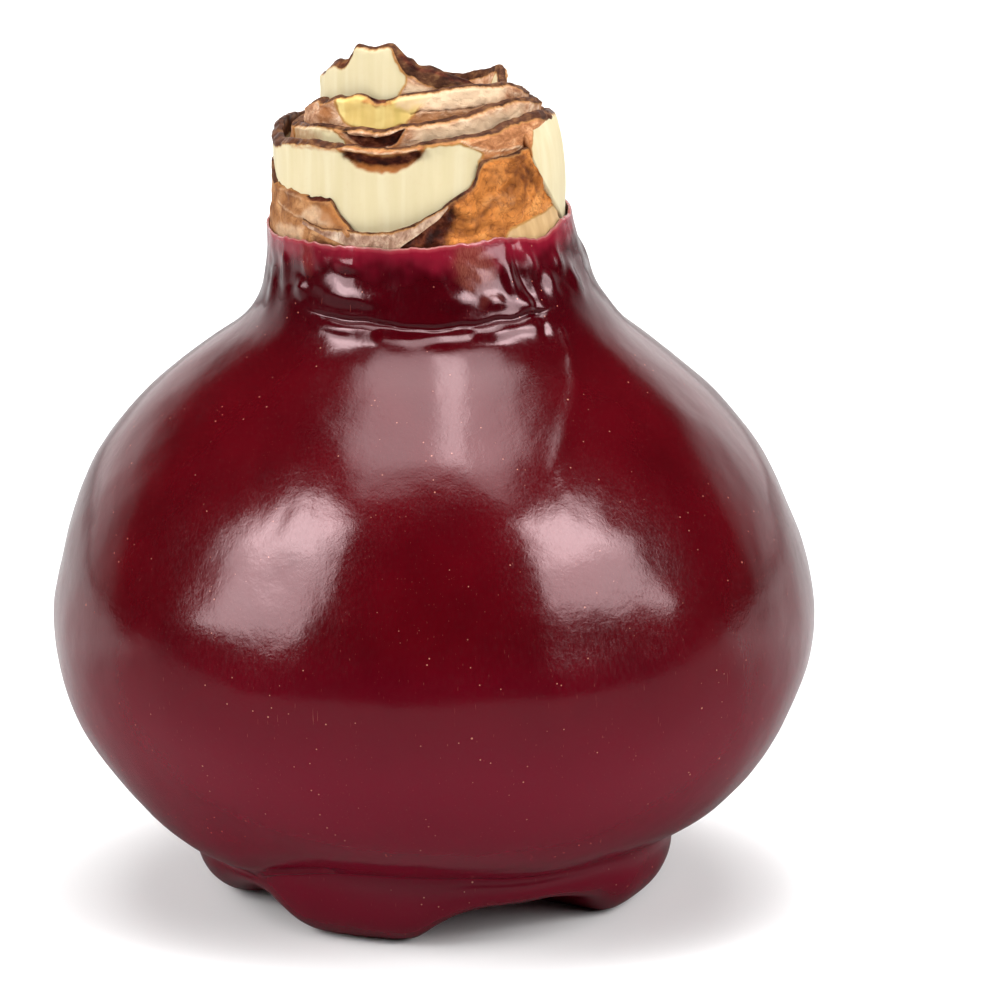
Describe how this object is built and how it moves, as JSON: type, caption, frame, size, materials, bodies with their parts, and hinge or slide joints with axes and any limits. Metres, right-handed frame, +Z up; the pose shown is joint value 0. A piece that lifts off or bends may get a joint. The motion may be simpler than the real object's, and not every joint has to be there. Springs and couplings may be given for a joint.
{
  "type": "waxed amaryllis bulb",
  "caption": "Onion-shaped flower bulb in a glossy dark red dipped wax coat with moulded wax feet; the cut, dry neck scales stand out of the coat's mouth.",
  "frame": {"origin": "on the ground under the middle of the bulb", "axes": "+Z up along the bulb; -Y is the front, where the pale shaved neck scale is; +X to its right"},
  "size_m": [0.0918, 0.0918, 0.1055],
  "materials": {
    "dipped_wax": "dark red dipped wax, glossy",
    "bulb_flesh": "pale moist flesh, out of sight under the wax",
    "papery_tunic": "thin dry brown skin, matt",
    "leathery_tunic": "orange-brown leathery skin, slight sheen",
    "shaved_flesh": "cream flesh shaved with a knife, with dried brown rims",
    "dried_scale": "dried pink-tan scale, matt"
  },
  "bodies": {
    "root": {"wax_coat": "dipped_wax", "bulb_body": "bulb_flesh", "papery_tunic": "papery_tunic", "leathery_tunic": "leathery_tunic", "side_scale": "shaved_flesh", "outer_scale": "shaved_flesh", "second_scale": "dried_scale", "third_scale": "dried_scale", "peaked_scale": "shaved_flesh", "back_scale": "dried_scale"}
  },
  "joints": []
}
